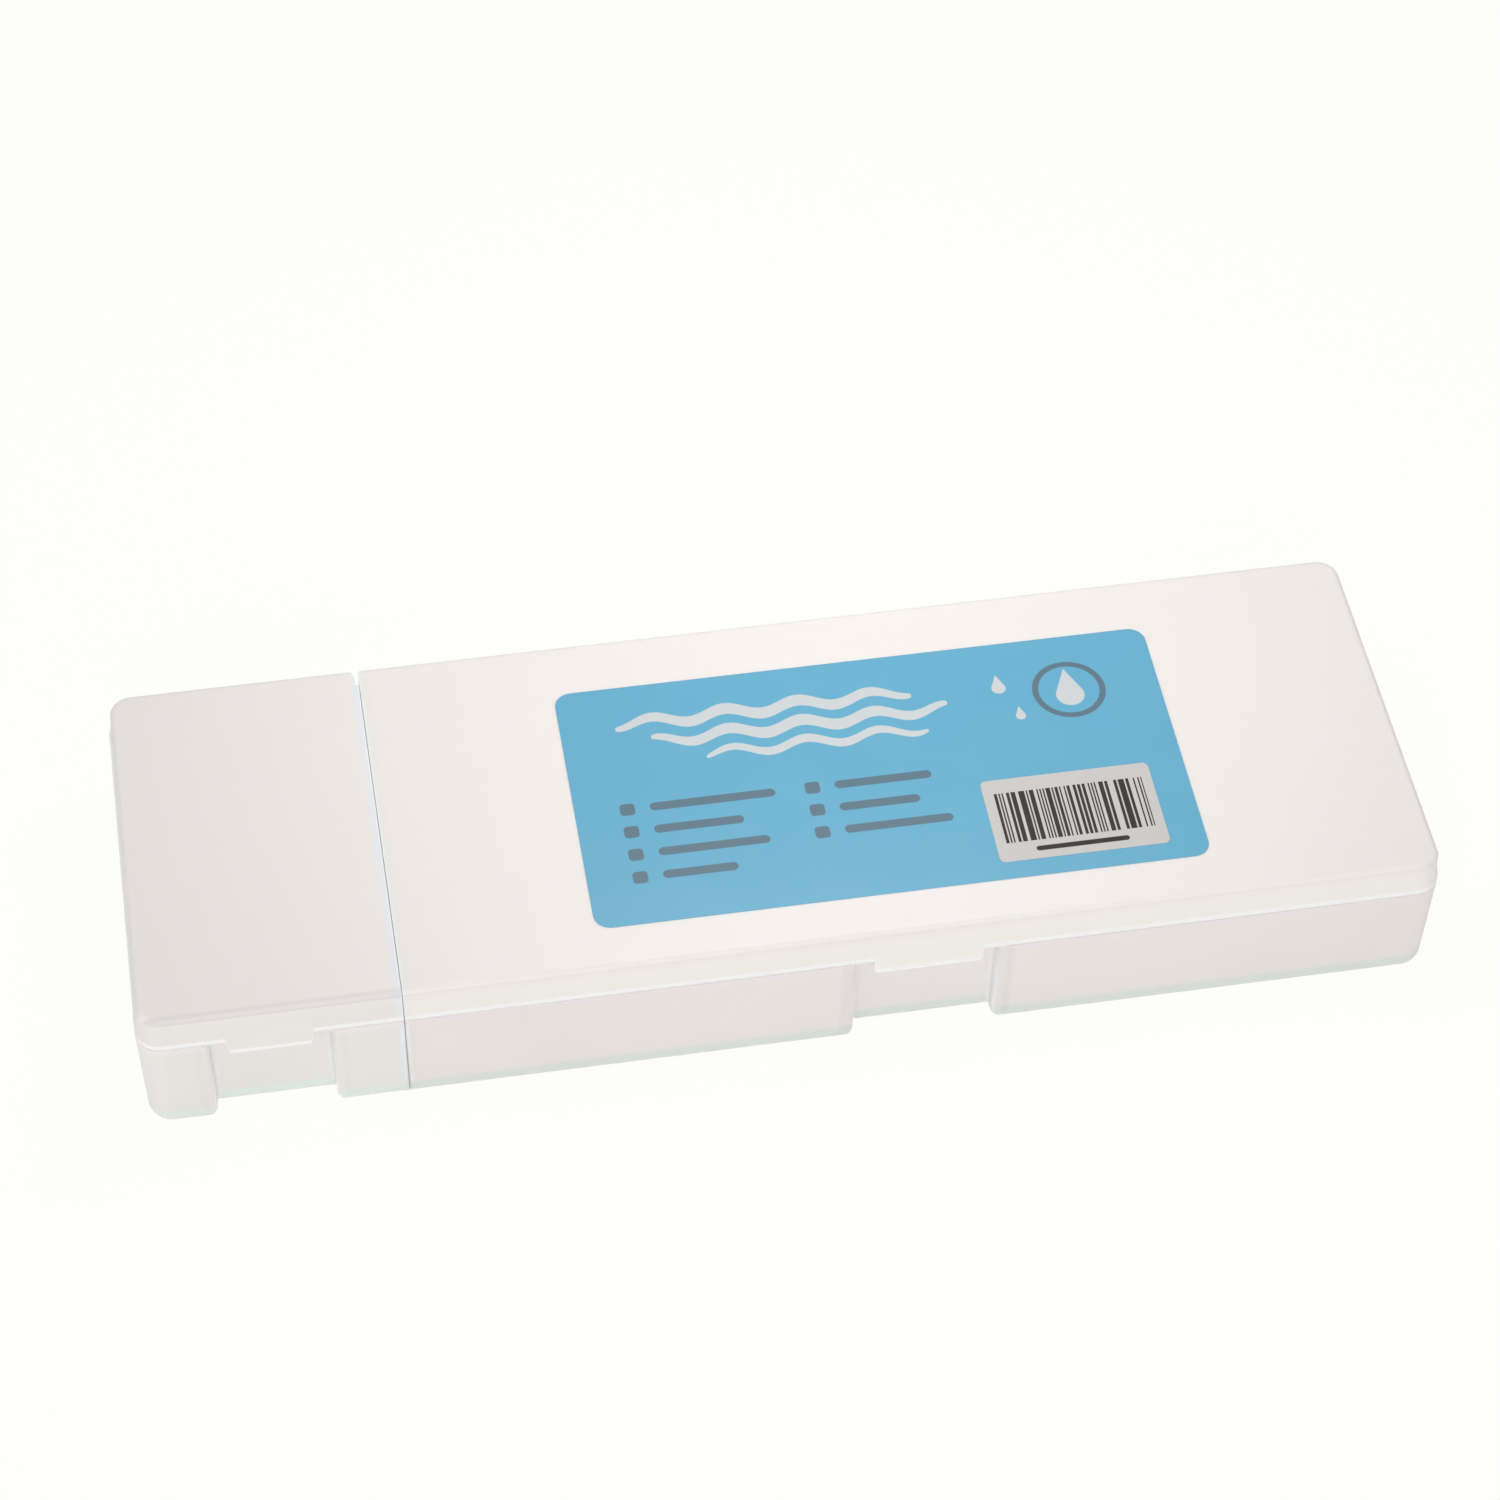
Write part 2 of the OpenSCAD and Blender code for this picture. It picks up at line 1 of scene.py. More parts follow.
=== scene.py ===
# Wet palette kit: the looks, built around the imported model. Metres, Z up.
import math
import bpy
import numpy as np
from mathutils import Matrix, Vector


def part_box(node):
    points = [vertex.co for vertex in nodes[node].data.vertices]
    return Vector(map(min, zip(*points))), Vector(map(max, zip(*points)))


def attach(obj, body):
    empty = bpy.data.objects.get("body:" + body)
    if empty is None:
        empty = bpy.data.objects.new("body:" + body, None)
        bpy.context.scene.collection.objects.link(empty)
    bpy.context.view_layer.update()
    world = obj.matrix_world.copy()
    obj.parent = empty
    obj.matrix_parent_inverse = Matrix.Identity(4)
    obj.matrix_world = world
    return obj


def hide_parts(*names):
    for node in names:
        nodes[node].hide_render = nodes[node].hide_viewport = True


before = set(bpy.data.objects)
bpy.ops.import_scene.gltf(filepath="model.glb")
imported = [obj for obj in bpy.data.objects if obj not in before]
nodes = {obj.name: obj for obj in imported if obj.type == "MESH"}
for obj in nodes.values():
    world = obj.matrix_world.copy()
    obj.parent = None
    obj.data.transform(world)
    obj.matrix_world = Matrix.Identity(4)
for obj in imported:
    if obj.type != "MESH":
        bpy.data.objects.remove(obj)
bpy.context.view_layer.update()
mm = 0.001
perMm = 1 / mm
print("frame loaded:", len(nodes), "nodes")


# A node whose sockets, or else properties, get the values named after them.
def addNode(tree, kind, **values):
    node = tree.nodes.new(kind)
    for key, value in values.items():
        label = key.replace("_", " ")
        if label in node.inputs:
            node.inputs[label].default_value = value
        else:
            setattr(node, key, value)
    return node


# Feed a socket from another one, or give it a plain value.
def join(tree, value, socket):
    if isinstance(value, bpy.types.NodeSocket):
        tree.links.new(value, socket)
    elif isinstance(value, tuple) and len(value) == 3 and socket.type == "RGBA":
        socket.default_value = (*value, 1)
    else:
        socket.default_value = value


# One step of arithmetic on plain values or sockets.
def calc(tree, operation, a, b=None, c=None, clamp=False):
    node = addNode(tree, "ShaderNodeMath", operation=operation, use_clamp=clamp)
    for socket, value in zip(node.inputs, (a, b, c)):
        if value is not None:
            join(tree, value, socket)
    return node.outputs[0]


# The same for vectors.
def calcVector(tree, operation, a, b):
    node = addNode(tree, "ShaderNodeVectorMath", operation=operation)
    join(tree, a, node.inputs[0])
    join(tree, b, node.inputs[1])
    return node.outputs["Value" if operation == "DOT_PRODUCT" else "Vector"]


def product(tree, first, *others):
    for other in others:
        first = calc(tree, "MULTIPLY", first, other)
    return first


# How far apart two values are.
def apart(tree, a, b):
    return calc(tree, "ABSOLUTE", calc(tree, "SUBTRACT", a, b))


# Colour b over or into colour a, by a factor.
def blendColors(tree, factor, a, b, how="MIX"):
    node = addNode(tree, "ShaderNodeMix", data_type="RGBA", blend_type=how)
    for index, value in ((0, factor), (6, a), (7, b)):
        join(tree, value, node.inputs[index])
    return node.outputs[2]


# Map a value from one range to another, clamped at both ends.
def spread(tree, value, low, high, newLow=0.0, newHigh=1.0, smooth=True):
    node = addNode(tree, "ShaderNodeMapRange", interpolation_type="SMOOTHSTEP" if smooth else "LINEAR")
    for socket, item in zip(node.inputs[:5], (value, low, high, newLow, newHigh)):
        join(tree, item, socket)
    return node.outputs["Result"]


# 1 up to the low value, 0 from the high one.
def fade(tree, value, low, high):
    return spread(tree, value, low, high, 1.0, 0.0)


# Object coordinates in millimetres from a corner given in metres.
def localMm(tree, corner=(0, 0, 0)):
    coords = tree.nodes.new("ShaderNodeTexCoord")
    place = tuple(-c * perMm for c in corner)
    mapping = addNode(tree, "ShaderNodeMapping", Location=place, Scale=(perMm, perMm, perMm))
    tree.links.new(coords.outputs["Object"], mapping.inputs["Vector"])
    return mapping.outputs["Vector"]


# The x, y and z of a vector.
def splitAxes(tree, vector):
    axes = tree.nodes.new("ShaderNodeSeparateXYZ")
    tree.links.new(vector, axes.inputs[0])
    return [axes.outputs[axis] for axis in "XYZ"]


# A noise texture on a vector; its other sockets get the values named after them.
def addNoise(tree, vector, scale, **values):
    node = addNode(tree, "ShaderNodeTexNoise", **values)
    join(tree, vector, node.inputs["Vector"])
    join(tree, scale, node.inputs["Scale"])
    return node.outputs


# A shader group; inputs are (name, kind, value), outputs are (name, kind).
def newGroup(name, inputs, outputs):
    group = bpy.data.node_groups.new(name, "ShaderNodeTree")
    for label, kind, value in inputs:
        socket = group.interface.new_socket(name=label, in_out="INPUT", socket_type="NodeSocket" + kind)
        if value is not None:
            socket.default_value = value
    for label, kind in outputs:
        group.interface.new_socket(name=label, in_out="OUTPUT", socket_type="NodeSocket" + kind)
    return group, group.nodes.new("NodeGroupInput").outputs, group.nodes.new("NodeGroupOutput").inputs


# A group placed in a material, whose sockets get the values named after them.
def useGroup(tree, group, **values):
    node = addNode(tree, "ShaderNodeGroup", node_tree=group)
    for key, value in values.items():
        join(tree, value, node.inputs[key.replace("_", " ")])
    return node.outputs


# A material with a Principled shader whose sockets get the values named after them.
def newMaterial(name, **values):
    mat = bpy.data.materials.new(name)
    mat.use_nodes = True
    tree = mat.node_tree
    tree.nodes.clear()
    shader = addNode(tree, "ShaderNodeBsdfPrincipled", **values)
    out = tree.nodes.new("ShaderNodeOutputMaterial")
    tree.links.new(shader.outputs["BSDF"], out.inputs["Surface"])
    return mat, tree, shader


def addBump(tree, shader, height, strength, relief):
    bump = addNode(tree, "ShaderNodeBump", Strength=strength, Distance=relief)
    tree.links.new(height, bump.inputs["Height"])
    tree.links.new(bump.outputs["Normal"], shader.inputs["Normal"])


# scales are per millimetre
skinPattern = {
    "grain": {"Detail": 2.0, "Roughness": 0.6},
    "waves": {"Detail": 1.5, "Roughness": 0.4, "Distortion": 0.4},
    "hair": {"Detail": 5.0, "Roughness": 0.75, "Distortion": 1.6},
    "hairScale": 0.55,
    "hairStretch": (0.35, 2.6, 1.2),
    "hairWidth": 0.006,
    "patchScale": 0.045,
    "worn": (0.5, 0.68),                # patches from the first to the second carry more scuffs
    "scuffDepth": 0.4,
    "patchGloss": 0.5,
}


# Fine spark-eroded grain, slow sink waves and handling scuffs of a moulded wall. A scuff is
# where a stretched noise is close to its middle value.
def buildMouldedSkin():
    f = skinPattern
    group, get, put = newGroup(
        "mouldedSkin",
        [("Vector", "Vector", None), ("Grain Size", "Float", 0.35), ("Wave Size", "Float", 38.0),
         ("Grain", "Float", 0.5), ("Waves", "Float", 1.0), ("Scuffs", "Float", 0.5)],
        [("Height", "Float"), ("Gloss", "Float"), ("Cloud", "Float")])
    grain = addNoise(group, get["Vector"], calc(group, "DIVIDE", 1.0, get["Grain Size"]), **f["grain"])
    waves = addNoise(group, get["Vector"], calc(group, "DIVIDE", 1.0, get["Wave Size"]), **f["waves"])
    stretched = calcVector(group, "MULTIPLY", get["Vector"], f["hairStretch"])
    hair = addNoise(group, stretched, f["hairScale"], **f["hair"])
    scratch = fade(group, apart(group, hair["Fac"], 0.5), 0.0, f["hairWidth"])
    patch = addNoise(group, get["Vector"], f["patchScale"], Detail=2.0)
    scuff = product(group, scratch, spread(group, patch["Fac"], *f["worn"]), get["Scuffs"])
    fine = product(group, grain["Fac"], get["Grain"])
    slow = product(group, waves["Fac"], get["Waves"])
    cut = product(group, scuff, f["scuffDepth"])
    join(group, calc(group, "SUBTRACT", calc(group, "ADD", fine, slow), cut), put["Height"])
    join(group, calc(group, "ADD", product(group, patch["Fac"], f["patchGloss"]), scuff), put["Gloss"])
    join(group, waves["Fac"], put["Cloud"])
    return group


# How near a point is to the upright walls of a box seen from above: 1 at the wall, 0 inside.
# The distance is that to a rectangle, the smaller of half width - |x| and half depth - |y|,
# blended at the corners.
def buildWallRim():
    cornerBlend = 2.0
    group, get, put = newGroup(
        "wallRim",
        [("Vector", "Vector", None), ("Middle X", "Float", 0.0), ("Middle Y", "Float", 0.0),
         ("Half X", "Float", 50.0), ("Half Y", "Float", 50.0), ("Width", "Float", 3.0)],
        [("Mask", "Float")])
    x, y, _ = splitAxes(group, get["Vector"])
    gapX = calc(group, "SUBTRACT", get["Half X"], apart(group, x, get["Middle X"]))
    gapY = calc(group, "SUBTRACT", get["Half Y"], apart(group, y, get["Middle Y"]))
    inset = calc(group, "SMOOTH_MIN", gapX, gapY, cornerBlend)
    join(group, fade(group, inset, 0.0, get["Width"]), put["Mask"])
    return group


# Ink where a distance is within a limit, with a soft edge on both sides of it.
def inkWithin(tree, far, limit, edge):
    beyond = calc(tree, "SUBTRACT", far, limit)
    return fade(tree, beyond, product(tree, edge, -1.0), edge)


# Rounded bar in print: ink where the length of max(|p - middle| - half + round, 0) is within
# the round.
def buildPrintBar():
    group, get, put = newGroup(
        "printBar",
        [("Vector", "Vector", None), ("Left", "Float", 0.0), ("Right", "Float", 10.0),
         ("Low", "Float", 0.0), ("High", "Float", 3.0), ("Round", "Float", 0.8), ("Edge", "Float", 0.12)],
        [("Mask", "Float")])
    x, y, _ = splitAxes(group, get["Vector"])
    squares = []
    for place, low, high in ((x, "Left", "Right"), (y, "Low", "High")):
        middle = product(group, calc(group, "ADD", get[low], get[high]), 0.5)
        half = product(group, calc(group, "SUBTRACT", get[high], get[low]), 0.5)
        past = calc(group, "SUBTRACT", apart(group, place, middle), half)
        past = calc(group, "MAXIMUM", calc(group, "ADD", past, get["Round"]), 0.0)
        squares.append(product(group, past, past))
    far = calc(group, "SQRT", calc(group, "ADD", *squares))
    join(group, inkWithin(group, far, get["Round"], get["Edge"]), put["Mask"])
    return group


# Ribbon along a sine line: ink where |y - line| is within half its thickness, which tapers
# to both ends as the fourth root of 4 t (1 - t), with t from 0 to 1 along it.
def buildPrintWave():
    group, get, put = newGroup(
        "printWave",
        [("Vector", "Vector", None), ("Left", "Float", 0.0), ("Right", "Float", 60.0),
         ("Height", "Float", 0.0), ("Swing", "Float", 1.4), ("Wave", "Float", 18.0),
         ("Thickness", "Float", 2.2), ("Edge", "Float", 0.12)],
        [("Mask", "Float")])
    x, y, _ = splitAxes(group, get["Vector"])
    turn = product(group, calc(group, "DIVIDE", x, get["Wave"]), 2 * math.pi)
    line = calc(group, "MULTIPLY_ADD", calc(group, "SINE", turn), get["Swing"], get["Height"])
    span = calc(group, "SUBTRACT", get["Right"], get["Left"])
    along = calc(group, "DIVIDE", calc(group, "SUBTRACT", x, get["Left"]), span)
    left = product(group, along, calc(group, "SUBTRACT", 1.0, along), 4.0)
    taper = calc(group, "POWER", calc(group, "MAXIMUM", left, 0.0), 0.25)
    half = product(group, get["Thickness"], 0.5, taper)
    ink = inkWithin(group, apart(group, y, line), half, get["Edge"])
    join(group, product(group, ink, calc(group, "GREATER_THAN", left, 0.0)), put["Mask"])
    return group


# Water drop: a disc joined to a point above it. Ink is where the distance from the disc's
# middle is within the radius; beside the tip it is measured square to the line that touches
# the disc and ends at the tip.
def buildPrintDrop():
    group, get, put = newGroup(
        "printDrop",
        [("Vector", "Vector", None), ("X", "Float", 0.0), ("Y", "Float", 0.0),
         ("Radius", "Float", 3.0), ("Tip", "Float", 7.0), ("Edge", "Float", 0.12)],
        [("Mask", "Float")])
    x, y, _ = splitAxes(group, get["Vector"])
    x = apart(group, x, get["X"])
    y = calc(group, "SUBTRACT", y, get["Y"])
    slope = calc(group, "DIVIDE", get["Radius"], get["Tip"])
    rest = calc(group, "SQRT", calc(group, "SUBTRACT", 1.0, product(group, slope, slope)))
    disc = calc(group, "SQRT", calc(group, "ADD", product(group, x, x), product(group, y, y)))
    side = calc(group, "ADD", product(group, x, rest), product(group, y, slope))
    over = calc(group, "SUBTRACT", product(group, y, rest), product(group, x, slope))
    above = calc(group, "GREATER_THAN", over, 0.0)
    below = calc(group, "SUBTRACT", 1.0, above)
    far = calc(group, "ADD", product(group, side, above), product(group, disc, below))
    join(group, inkWithin(group, far, get["Radius"], get["Edge"]), put["Mask"])
    return group


fibrePattern = {
    "stretches": ((0.25, 1.3, 1.0), (1.1, 0.3, 1.0)),     # strands along x, then along y
    "strand": {"Detail": 3.0, "Roughness": 0.7, "Distortion": 2.2},
    "strandWidth": 0.05,
    "strandHeight": 0.6,
    "cloud": {"Detail": 3.0, "Roughness": 0.55},
}


# Cloudy pulp and short crossed fibres of a sheet.
def buildPaperFibre():
    f = fibrePattern
    group, get, put = newGroup(
        "paperFibre",
        [("Vector", "Vector", None), ("Fibre Size", "Float", 1.0), ("Cloud Size", "Float", 7.0)],
        [("Height", "Float"), ("Cloud", "Float"), ("Fibre", "Float")])
    strands = []
    for stretch in f["stretches"]:
        stretched = calcVector(group, "MULTIPLY", get["Vector"], stretch)
        strand = addNoise(group, stretched, calc(group, "DIVIDE", 1.0, get["Fibre Size"]), **f["strand"])
        strands.append(fade(group, apart(group, strand["Fac"], 0.5), 0.0, f["strandWidth"]))
    fibre = calc(group, "MAXIMUM", *strands)
    cloud = addNoise(group, get["Vector"], calc(group, "DIVIDE", 1.0, get["Cloud Size"]), **f["cloud"])
    join(group, calc(group, "MULTIPLY_ADD", fibre, f["strandHeight"], cloud["Fac"]), put["Height"])
    join(group, cloud["Fac"], put["Cloud"])
    join(group, fibre, put["Fibre"])
    return group


mouldedSkin = buildMouldedSkin()
wallRim = buildWallRim()
printBar = buildPrintBar()
printWave = buildPrintWave()
printDrop = buildPrintDrop()
paperFibre = buildPaperFibre()
print("shared effects built")

# the values between which a group's Cloud and Gloss are used
cloudSpan = (0.3, 0.7)
glossSpan = (0.15, 0.75)
whitest = 0.98                          # most of any channel in a tinted colour
plasticIndex = 1.49                     # refraction of polypropylene


# From the low to the high value over the cloudy parts of an effect.
def cloudy(tree, effect, low=0.0, high=1.0):
    return spread(tree, effect["Cloud"], *cloudSpan, low, high)


# Mottled roughness of a moulded skin between two values.
def skinRoughness(tree, skin, roughness):
    return spread(tree, skin["Gloss"], *glossSpan, *roughness, smooth=False)


# Give a node's mesh one material.
def dress(name, mat):
    slots = nodes[name].data.materials
    slots.clear()
    slots.append(mat)


shellFinish = {
    "core": (0.900, 0.853, 0.826),
    # painted shade: the bases a little darker than the lids, the palette base most
    "basePaintedShade": {"palette": (0.934, 0.912, 0.932), "rinse": (0.988, 0.988, 0.988)},
    "scatter": (1.0, 0.97, 0.94),       # how far red, green and blue travel in the plastic
    "lidDepth": 0.6 * mm,
    "baseDepth": 1.8 * mm,
    "roughness": (0.34, 0.46),
    "skin": {"Grain": 0.35, "Waves": 1.0, "Scuffs": 0.55},
    "relief": 0.05 * mm,
    "bump": 0.35,
    "cloudLow": 0.7,                    # least strength of the painted light on the walls
    # painted light and shade, standing in for light through the thick plastic: factors on the core colour
    "wallPaintedLight": {"palette": (0.965, 0.96, 0.99), "rinse": (0.96, 1.01, 1.06)},
    "wallWidth": 2.6,                   # this and the other widths in millimetres
    "endsOnly": 40.0,                   # keeps the painted wall light off the front and the back
    # painted light and shade below a height, on a lid's skirt and all of a base: lighter on the palette box,
    # darker on the rinse box
    "skirtPaintedLight": {"palette": (1.005, 1.025, 1.01), "rinse": (0.945, 0.96, 0.955)},
    "skirt": {"palette": (34.5, 36.5), "rinse": (36.0, 38.6)},
    # painted cool light and shade beside the seam, bluest on the rinse box
    "seamPaintedLight": {"palette": (0.95, 1.04, 1.02), "rinse": (0.905, 1.02, 1.13)},
    "seamWidth": {"palette": 2.0, "rinse": 2.2},
    # painted lilac shadow on a base below the edge with the painted highlight
    "underRimPaintedShadow": (1.03, 1.015, 1.06),
    "underRim": (0.9, 3.6),             # how far below the edge with the painted highlight
    # painted greenish reflection of the floor near the foot
    "footPaintedReflection": (0.885, 1.005, 0.975),
    "foot": (5.2, 7.2),
    "crestPaintedHighlight": (1.045, 1.10, 1.11),   # painted highlight along the lower edge of a rim or a latch tab
    "crest": (0.3, 0.72),               # above and below its height
    "crestGloss": -0.08,
    # painted shade on the rounded front edge of a lid's top, dimming its highlight: factors on the colour
    # there
    "edgePaintedShade": {"palette": (0.95, 0.96, 0.96), "rinse": (0.87, 0.88, 0.895)},
    "groovePaintedLight": (1.14, 1.20, 1.24),   # painted light in the shaded groove between the two boxes
    "grooveWidth": {"lid": 0.5, "base": 1.4},
    "recessPaintedLight": (1.0, 1.013, 1.018),  # painted light on the back wall of a finger recess
    "cornerPaintedLight": (1.14, 1.19, 1.20),   # painted light in its shaded inner corners and on its thin side walls
    "corner": (0.2, 1.5),
    # painted shade on the round edges of its mouth
    "lipPaintedShade": {"palette": (0.935, 0.945, 0.95), "rinse": (0.97, 0.975, 0.975)},
    "lip": (0.6, 2.4),
}

# millimetres, but for the depth
kitShape = {
    "depth": 100 * mm,
    "rimCrest": 30.8,                   # heights of the edges with the painted highlight
    "tabCrest": 26.5,
    # middle of each latch tab, half its width and half the width of its recess
    "tab": {"palette": (29.3, 12.6, 18.5), "rinse": (-120.8, 9.5, 15.6)},
    "tabSlope": 0.6,                    # from the tab's edge up to the rim's, to each side
    "recess": (0.8, 5.6),               # nearest and deepest part behind the front face
    "recessFade": 1.0,
    "mouthRound": 2.0,
    "lipDepth": (0.4, 1.4),             # how far behind the front face the mouth's lip fades
    "topEdge": (1.9, 2.9),              # how far the front edge of the top reaches inwards
    "edgeRise": (37.2, 37.8),           # and the heights over which it comes in
}


# A colour times a factor for each channel, kept below white.
def tint(color, factors):
    return tuple(min(whitest, c * f) for c, f in zip(color, factors))


# Lay tints of a core colour over a colour, each where its mask is 1.
def layTints(tree, color, core, rows):
    for mask, factors in rows:
        color = blendColors(tree, mask, color, tint(core, factors))
    return color


# 1 on the outside of a box's walls: the sideways part of the normal points away from its middle.
def outsideMask(tree, where, middle):
    coords = tree.nodes.new("ShaderNodeTexCoord")
    fromMiddle = calcVector(tree, "SUBTRACT", where, (middle[0], middle[1], 0))
    flat = calcVector(tree, "MULTIPLY", fromMiddle, (1, 1, 0))
    return calc(tree, "GREATER_THAN", calcVector(tree, "DOT_PRODUCT", coords.outputs["Normal"], flat), 0.0)


# Where a point of a shell lies: its height, how far it is from the seam and from the middle of the
# tab, how far behind the front face, and how far below the edge with the painted highlight, which
# is lower on the tab.
def shellPlaces(tree, case, where, low, high, side):
    shape = kitShape
    x, y, z = splitAxes(tree, where)
    tabX, tabHalf, _ = shape["tab"][case]
    deep = shape["recess"][1]
    fromTab = apart(tree, x, tabX)
    inward = calc(tree, "SUBTRACT", y, low[1] * perMm)
    onTab = product(tree, fade(tree, fromTab, tabHalf - shape["tabSlope"], tabHalf + shape["tabSlope"]),
                    calc(tree, "LESS_THAN", inward, deep))
    crestHeight = calc(tree, "MULTIPLY_ADD", onTab, shape["tabCrest"] - shape["rimCrest"], shape["rimCrest"])
    return {
        "z": z,
        "fromSeam": apart(tree, x, (low, high)[side][0] * perMm),
        "fromTab": fromTab,
        "inward": inward,
        "drop": calc(tree, "SUBTRACT", crestHeight, z),
    }


# Painted light and shade on a base: painted shadow below the highlighted edge, painted floor
# reflection at the foot, painted light in the finger recess and its corners, and painted shade on the round
# edges of its mouth.
def baseTints(tree, color, core, case, at, outerWall):
    f = shellFinish
    near, deep = kitShape["recess"]
    reach = kitShape["recessFade"]
    mouthHalf = kitShape["tab"][case][2]
    fromTab, inward, drop = at["fromTab"], at["inward"], at["drop"]
    inMouth = calc(tree, "LESS_THAN", fromTab, mouthHalf)
    inRecess = product(tree, inMouth, calc(tree, "LESS_THAN", inward, deep))
    outside = calc(tree, "MAXIMUM", outerWall, inRecess)
    edge, far = f["underRim"]
    shade = product(tree, fade(tree, drop, edge, far), calc(tree, "GREATER_THAN", drop, edge), outside)
    foot = product(tree, fade(tree, at["z"], *f["foot"]), outside)
    color = layTints(tree, color, core, [(shade, f["underRimPaintedShadow"]), (foot, f["footPaintedReflection"])])
    behind = product(tree, spread(tree, inward, near, near + reach), fade(tree, inward, deep, deep + reach))
    color = blendColors(tree, product(tree, inMouth, behind), color, f["recessPaintedLight"], how="MULTIPLY")
    fromCorner = apart(tree, fromTab, mouthHalf - kitShape["mouthRound"])
    corner = product(tree, fade(tree, fromCorner, *f["corner"]), behind)
    color = layTints(tree, color, core, [(corner, f["cornerPaintedLight"])])
    fromLip = apart(tree, fromTab, mouthHalf)
    lip = product(tree, fade(tree, fromLip, *f["lip"]), fade(tree, inward, *kitShape["lipDepth"]))
    return blendColors(tree, lip, color, f["lipPaintedShade"][case], how="MULTIPLY")


# Milky polypropylene with painted light and shade over its walls, seam, skirt, edges and recess. side is 0
# or 1 for a seam wall at the low or the high end of the box, whose corners are low and high in metres.
def shellMaterial(name, case, isBase, low, high, side):
    f = shellFinish
    core = tint(f["core"], f["basePaintedShade"][case]) if isBase else f["core"]
    depth = f["baseDepth"] if isBase else f["lidDepth"]
    mat, tree, shader = newMaterial(
        name, IOR=plasticIndex, Subsurface_Weight=1.0, Subsurface_Radius=f["scatter"],
        Subsurface_Scale=depth)
    where = localMm(tree)
    skin = useGroup(tree, mouldedSkin, Vector=where, **f["skin"])
    cloud = cloudy(tree, skin, f["cloudLow"])
    middle = [(a + b) / 2 * perMm for a, b in zip(low, high)]
    half = [(b - a) / 2 * perMm for a, b in zip(low, high)]
    ends = useGroup(tree, wallRim, Vector=where, Middle_X=middle[0], Middle_Y=middle[1],
                    Half_X=half[0], Half_Y=half[1] + f["endsOnly"], Width=f["wallWidth"])["Mask"]
    at = shellPlaces(tree, case, where, low, high, side)
    nearSeam = fade(tree, at["fromSeam"], 0.0, f["seamWidth"][case])
    groove = fade(tree, at["fromSeam"], 0.0, f["grooveWidth"]["base" if isBase else "lid"])
    color = layTints(tree, core, core, [
        (fade(tree, at["z"], *f["skirt"][case]), f["skirtPaintedLight"][case]),
        (product(tree, ends, cloud), f["wallPaintedLight"][case]),
        (product(tree, nearSeam, cloud), f["seamPaintedLight"][case]),
        (groove, f["groovePaintedLight"]),
    ])
    if isBase:
        color = baseTints(tree, color, core, case, at, outsideMask(tree, where, middle))
    else:
        # painted shade along the rounded front edge of the top
        edge = product(tree, fade(tree, at["inward"], *kitShape["topEdge"]),
                       spread(tree, at["z"], *kitShape["edgeRise"]))
        color = blendColors(tree, edge, color, f["edgePaintedShade"][case], how="MULTIPLY")
    # painted highlight along the rim's lower edge, lower on the tab; the edge is also glossier
    crest = fade(tree, calc(tree, "ABSOLUTE", at["drop"]), *f["crest"])
    color = layTints(tree, color, core, [(crest, f["crestPaintedHighlight"])])
    tree.links.new(color, shader.inputs["Base Color"])
    rough = calc(tree, "MULTIPLY_ADD", crest, f["crestGloss"], skinRoughness(tree, skin, f["roughness"]))
    tree.links.new(rough, shader.inputs["Roughness"])
    addBump(tree, shader, skin["Height"], f["bump"], f["relief"])
    return mat


# The box of a lid without the hinge behind its back wall.
def lidBox(name):
    low, high = [np.array(corner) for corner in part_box(name)]
    high[1] = low[1] + kitShape["depth"]
    return low, high


for case, side in (("palette", 0), ("rinse", 1)):
    low, high = lidBox(case + "_lid")
    dress(case + "_lid", shellMaterial(case + "LidMilky", case, False, low, high, side))
    dress(case + "_base", shellMaterial(case + "BaseMilky", case, True, low, high, side))
print("shells dressed")


plateFinish = {
    "core": (0.86, 0.885, 0.90),
    "paler": 1.05,                      # factor on the core colour in the cloudy parts
    "weight": 0.8,
    "scatter": (0.9, 0.97, 1.0),
    "depth": 1.2 * mm,
    "roughness": (0.3, 0.42),
    "skin": {"Grain_Size": 0.25, "Grain": 0.4, "Waves": 0.7, "Scuffs": 1.0},
    "bump": 0.4,
    "relief": 0.04 * mm,
}


# Frosted plastic, a little bluer than the shells.
def washingPlateMaterial():
    f = plateFinish
    mat, tree, shader = newMaterial(
        "frostedPlate", IOR=plasticIndex, Subsurface_Weight=f["weight"],
        Subsurface_Radius=f["scatter"], Subsurface_Scale=f["depth"])
    skin = useGroup(tree, mouldedSkin, Vector=localMm(tree), **f["skin"])
    color = blendColors(tree, cloudy(tree, skin), f["core"], tint(f["core"], (f["paler"],) * 3))
    tree.links.new(color, shader.inputs["Base Color"])
    tree.links.new(skinRoughness(tree, skin, f["roughness"]), shader.inputs["Roughness"])
    addBump(tree, shader, skin["Height"], f["bump"], f["relief"])
    return mat


dress("washing_plate", washingPlateMaterial())


